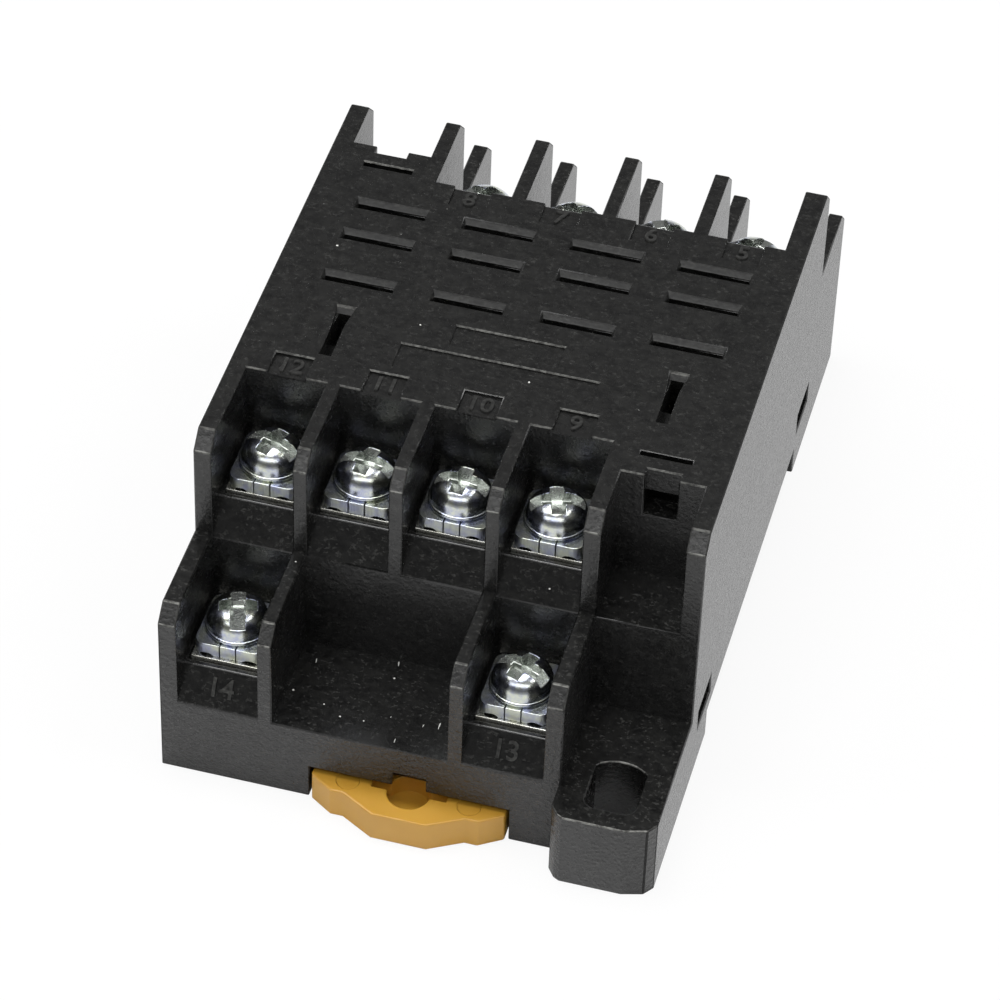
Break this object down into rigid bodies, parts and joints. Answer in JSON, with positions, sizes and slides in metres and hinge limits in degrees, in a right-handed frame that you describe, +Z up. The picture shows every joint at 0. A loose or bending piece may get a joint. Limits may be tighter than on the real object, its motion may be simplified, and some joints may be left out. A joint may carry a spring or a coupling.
{
  "type": "relay socket",
  "caption": "Plug-in relay socket with stepped rows of screw terminals at both ends, a slotted top deck for relay blades, rail channel with pull-out latch and two screw ears.",
  "frame": {"origin": "centre of the underside, between the two ends and the two side faces", "axes": "+Z up out of the top deck, -Y towards the end with the rail latch, X across the width"},
  "size_m": [0.045, 0.077, 0.0296],
  "materials": {
    "housing_plastic": "moulded, finely speckled",
    "latch_plastic": "moulded, semi-gloss",
    "tinned_contact": "tin-plated, satin",
    "zinc_steel": "bright zinc plate, clear passivated"
  },
  "bodies": {
    "base": {"housing": "housing_plastic", "bottom_cover": "housing_plastic", "contact_01": "tinned_contact", "contact_02": "tinned_contact", "contact_03": "tinned_contact", "contact_04": "tinned_contact", "contact_05": "tinned_contact", "contact_06": "tinned_contact", "contact_07": "tinned_contact", "contact_08": "tinned_contact", "contact_09": "tinned_contact", "contact_10": "tinned_contact", "contact_11": "tinned_contact", "contact_12": "tinned_contact", "contact_13": "tinned_contact", "contact_14": "tinned_contact"},
    "latch": {"rail_latch": "latch_plastic"},
    "clamp_01": {"clamp_01": "zinc_steel"},
    "screw_01": {"screw_01": "zinc_steel"},
    "clamp_02": {"clamp_02": "zinc_steel"},
    "screw_02": {"screw_02": "zinc_steel"},
    "clamp_03": {"clamp_03": "zinc_steel"},
    "screw_03": {"screw_03": "zinc_steel"},
    "clamp_04": {"clamp_04": "zinc_steel"},
    "screw_04": {"screw_04": "zinc_steel"},
    "clamp_05": {"clamp_05": "zinc_steel"},
    "screw_05": {"screw_05": "zinc_steel"},
    "clamp_06": {"clamp_06": "zinc_steel"},
    "screw_06": {"screw_06": "zinc_steel"},
    "clamp_07": {"clamp_07": "zinc_steel"},
    "screw_07": {"screw_07": "zinc_steel"},
    "clamp_08": {"clamp_08": "zinc_steel"},
    "screw_08": {"screw_08": "zinc_steel"},
    "clamp_09": {"clamp_09": "zinc_steel"},
    "screw_09": {"screw_09": "zinc_steel"},
    "clamp_10": {"clamp_10": "zinc_steel"},
    "screw_10": {"screw_10": "zinc_steel"},
    "clamp_11": {"clamp_11": "zinc_steel"},
    "screw_11": {"screw_11": "zinc_steel"},
    "clamp_12": {"clamp_12": "zinc_steel"},
    "screw_12": {"screw_12": "zinc_steel"},
    "clamp_13": {"clamp_13": "zinc_steel"},
    "screw_13": {"screw_13": "zinc_steel"},
    "clamp_14": {"clamp_14": "zinc_steel"},
    "screw_14": {"screw_14": "zinc_steel"}
  },
  "joints": [
    {"name": "latch_pull", "type": "slide", "parent": "base", "child": "latch", "axis": [0, -1, 0], "range_m": [0, 0.004], "stiffness_N_per_m": 300, "springref_m": -0.0015},
    {"name": "clamp_01_lift", "type": "slide", "parent": "base", "child": "clamp_01", "axis": [0, 0, 1], "range_m": [0, 0.002]},
    {"name": "screw_01_turn", "type": "hinge", "parent": "clamp_01", "child": "screw_01", "pos_m": [0.0169, 0.0288, 0.0129], "axis": [0, 0, 1], "range_deg": [0, 1440]},
    {"name": "clamp_02_lift", "type": "slide", "parent": "base", "child": "clamp_02", "axis": [0, 0, 1], "range_m": [0, 0.002]},
    {"name": "screw_02_turn", "type": "hinge", "parent": "clamp_02", "child": "screw_02", "pos_m": [0.00845, 0.0288, 0.0129], "axis": [0, 0, 1], "range_deg": [0, 1440]},
    {"name": "clamp_03_lift", "type": "slide", "parent": "base", "child": "clamp_03", "axis": [0, 0, 1], "range_m": [0, 0.002]},
    {"name": "screw_03_turn", "type": "hinge", "parent": "clamp_03", "child": "screw_03", "pos_m": [0, 0.0288, 0.0129], "axis": [0, 0, 1], "range_deg": [0, 1440]},
    {"name": "clamp_04_lift", "type": "slide", "parent": "base", "child": "clamp_04", "axis": [0, 0, 1], "range_m": [0, 0.002]},
    {"name": "screw_04_turn", "type": "hinge", "parent": "clamp_04", "child": "screw_04", "pos_m": [-0.00845, 0.0288, 0.0129], "axis": [0, 0, 1], "range_deg": [0, 1440]},
    {"name": "clamp_05_lift", "type": "slide", "parent": "base", "child": "clamp_05", "axis": [0, 0, 1], "range_m": [0, 0.002]},
    {"name": "screw_05_turn", "type": "hinge", "parent": "clamp_05", "child": "screw_05", "pos_m": [0.0169, 0.0186, 0.0232], "axis": [0, 0, 1], "range_deg": [0, 1440]},
    {"name": "clamp_06_lift", "type": "slide", "parent": "base", "child": "clamp_06", "axis": [0, 0, 1], "range_m": [0, 0.002]},
    {"name": "screw_06_turn", "type": "hinge", "parent": "clamp_06", "child": "screw_06", "pos_m": [0.00845, 0.0186, 0.0232], "axis": [0, 0, 1], "range_deg": [0, 1440]},
    {"name": "clamp_07_lift", "type": "slide", "parent": "base", "child": "clamp_07", "axis": [0, 0, 1], "range_m": [0, 0.002]},
    {"name": "screw_07_turn", "type": "hinge", "parent": "clamp_07", "child": "screw_07", "pos_m": [0, 0.0186, 0.0232], "axis": [0, 0, 1], "range_deg": [0, 1440]},
    {"name": "clamp_08_lift", "type": "slide", "parent": "base", "child": "clamp_08", "axis": [0, 0, 1], "range_m": [0, 0.002]},
    {"name": "screw_08_turn", "type": "hinge", "parent": "clamp_08", "child": "screw_08", "pos_m": [-0.00845, 0.0186, 0.0232], "axis": [0, 0, 1], "range_deg": [0, 1440]},
    {"name": "clamp_09_lift", "type": "slide", "parent": "base", "child": "clamp_09", "axis": [0, 0, 1], "range_m": [0, 0.002]},
    {"name": "screw_09_turn", "type": "hinge", "parent": "clamp_09", "child": "screw_09", "pos_m": [0.00822, -0.0186, 0.0232], "axis": [0, 0, 1], "range_deg": [0, 1440]},
    {"name": "clamp_10_lift", "type": "slide", "parent": "base", "child": "clamp_10", "axis": [0, 0, 1], "range_m": [0, 0.002]},
    {"name": "screw_10_turn", "type": "hinge", "parent": "clamp_10", "child": "screw_10", "pos_m": [-0.00028, -0.0186, 0.0232], "axis": [0, 0, 1], "range_deg": [0, 1440]},
    {"name": "clamp_11_lift", "type": "slide", "parent": "base", "child": "clamp_11", "axis": [0, 0, 1], "range_m": [0, 0.002]},
    {"name": "screw_11_turn", "type": "hinge", "parent": "clamp_11", "child": "screw_11", "pos_m": [-0.00877, -0.0186, 0.0232], "axis": [0, 0, 1], "range_deg": [0, 1440]},
    {"name": "clamp_12_lift", "type": "slide", "parent": "base", "child": "clamp_12", "axis": [0, 0, 1], "range_m": [0, 0.002]},
    {"name": "screw_12_turn", "type": "hinge", "parent": "clamp_12", "child": "screw_12", "pos_m": [-0.01727, -0.0186, 0.0232], "axis": [0, 0, 1], "range_deg": [0, 1440]},
    {"name": "clamp_13_lift", "type": "slide", "parent": "base", "child": "clamp_13", "axis": [0, 0, 1], "range_m": [0, 0.002]},
    {"name": "screw_13_turn", "type": "hinge", "parent": "clamp_13", "child": "screw_13", "pos_m": [0.00822, -0.0288, 0.0129], "axis": [0, 0, 1], "range_deg": [0, 1440]},
    {"name": "clamp_14_lift", "type": "slide", "parent": "base", "child": "clamp_14", "axis": [0, 0, 1], "range_m": [0, 0.002]},
    {"name": "screw_14_turn", "type": "hinge", "parent": "clamp_14", "child": "screw_14", "pos_m": [-0.01727, -0.0288, 0.0129], "axis": [0, 0, 1], "range_deg": [0, 1440]}
  ],
  "couplings": [
    {"joint": "screw_01_turn", "follows": "clamp_01_lift", "rad_per_m": 12566},
    {"joint": "screw_02_turn", "follows": "clamp_02_lift", "rad_per_m": 12566},
    {"joint": "screw_03_turn", "follows": "clamp_03_lift", "rad_per_m": 12566},
    {"joint": "screw_04_turn", "follows": "clamp_04_lift", "rad_per_m": 12566},
    {"joint": "screw_05_turn", "follows": "clamp_05_lift", "rad_per_m": 12566},
    {"joint": "screw_06_turn", "follows": "clamp_06_lift", "rad_per_m": 12566},
    {"joint": "screw_07_turn", "follows": "clamp_07_lift", "rad_per_m": 12566},
    {"joint": "screw_08_turn", "follows": "clamp_08_lift", "rad_per_m": 12566},
    {"joint": "screw_09_turn", "follows": "clamp_09_lift", "rad_per_m": 12566},
    {"joint": "screw_10_turn", "follows": "clamp_10_lift", "rad_per_m": 12566},
    {"joint": "screw_11_turn", "follows": "clamp_11_lift", "rad_per_m": 12566},
    {"joint": "screw_12_turn", "follows": "clamp_12_lift", "rad_per_m": 12566},
    {"joint": "screw_13_turn", "follows": "clamp_13_lift", "rad_per_m": 12566},
    {"joint": "screw_14_turn", "follows": "clamp_14_lift", "rad_per_m": 12566}
  ]
}
